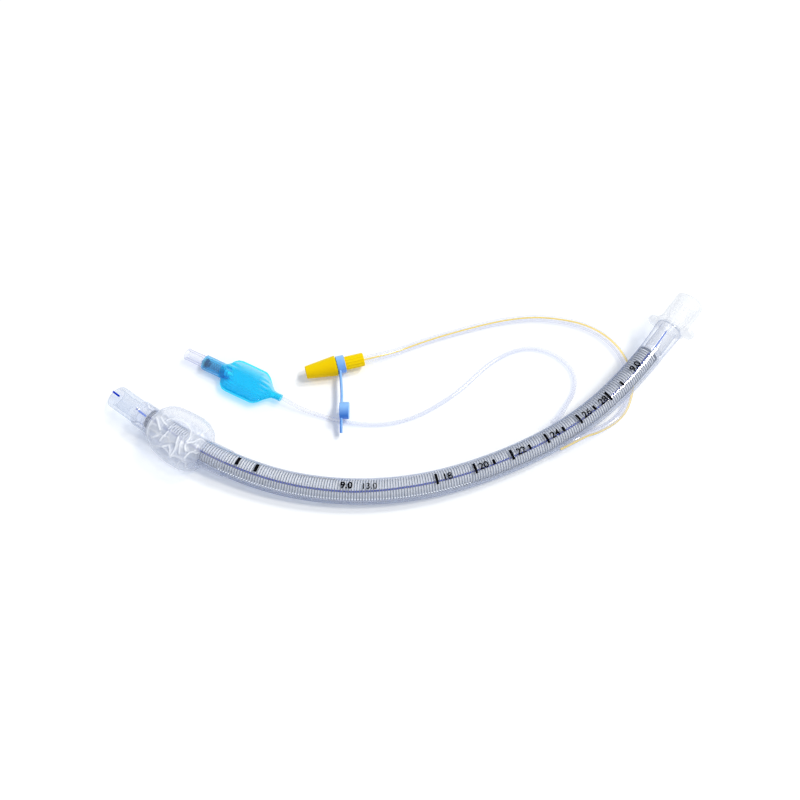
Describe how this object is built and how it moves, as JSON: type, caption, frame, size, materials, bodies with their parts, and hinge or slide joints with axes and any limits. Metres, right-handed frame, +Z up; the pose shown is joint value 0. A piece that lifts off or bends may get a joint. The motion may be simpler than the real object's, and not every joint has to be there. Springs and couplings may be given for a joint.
{
  "type": "endotracheal tube",
  "caption": "Cuffed, wire-reinforced breathing tube with a bevelled tip, male cone connector, pilot balloon with check valve, and a suction line with a capped funnel.",
  "frame": {"origin": "on the table, under the middle of the box round the tube, cuff and connector", "axes": "+X from the tip towards the connector, +Y from the outer side of the bend to its inner side, +Z up from the table"},
  "size_m": [0.311, 0.1126, 0.0261],
  "materials": {
    "clear_pvc": "soft, clear and glossy",
    "coil_steel": "bright drawn wire",
    "cuff_film": "thin crumpled film",
    "connector_plastic": "frosted, translucent",
    "line_pvc": "clear and glossy",
    "blue_film": "see-through blue film",
    "blue_plastic": "see-through blue",
    "clear_plastic": "hard and clear",
    "seal_rubber": "matt",
    "dark_plastic": "satin",
    "spring_steel": "bright drawn wire",
    "yellow_plastic": "satin",
    "light_blue_plastic": "satin"
  },
  "bodies": {
    "root": {"bevel_tip": "clear_pvc", "shaft_jacket": "clear_pvc", "shaft_liner": "clear_pvc", "reinforcing_wire": "coil_steel", "cuff": "cuff_film", "connector_15mm": "connector_plastic", "inflation_line": "line_pvc", "pilot_balloon": "blue_film", "valve_housing": "blue_plastic", "valve_inlet": "clear_plastic", "valve_seal": "seal_rubber", "valve_spring": "spring_steel", "suction_line": "line_pvc", "suction_connector": "yellow_plastic", "suction_cap": "light_blue_plastic"},
    "plunger": {"valve_plunger": "dark_plastic"}
  },
  "joints": [
    {"name": "plunger_slide", "type": "slide", "parent": "root", "child": "plunger", "axis": [0.891, -0.454, 0], "range_m": [0, 0.0015], "stiffness_N_per_m": 50, "springref_m": -0.001, "deforming": ["valve_spring"]}
  ]
}
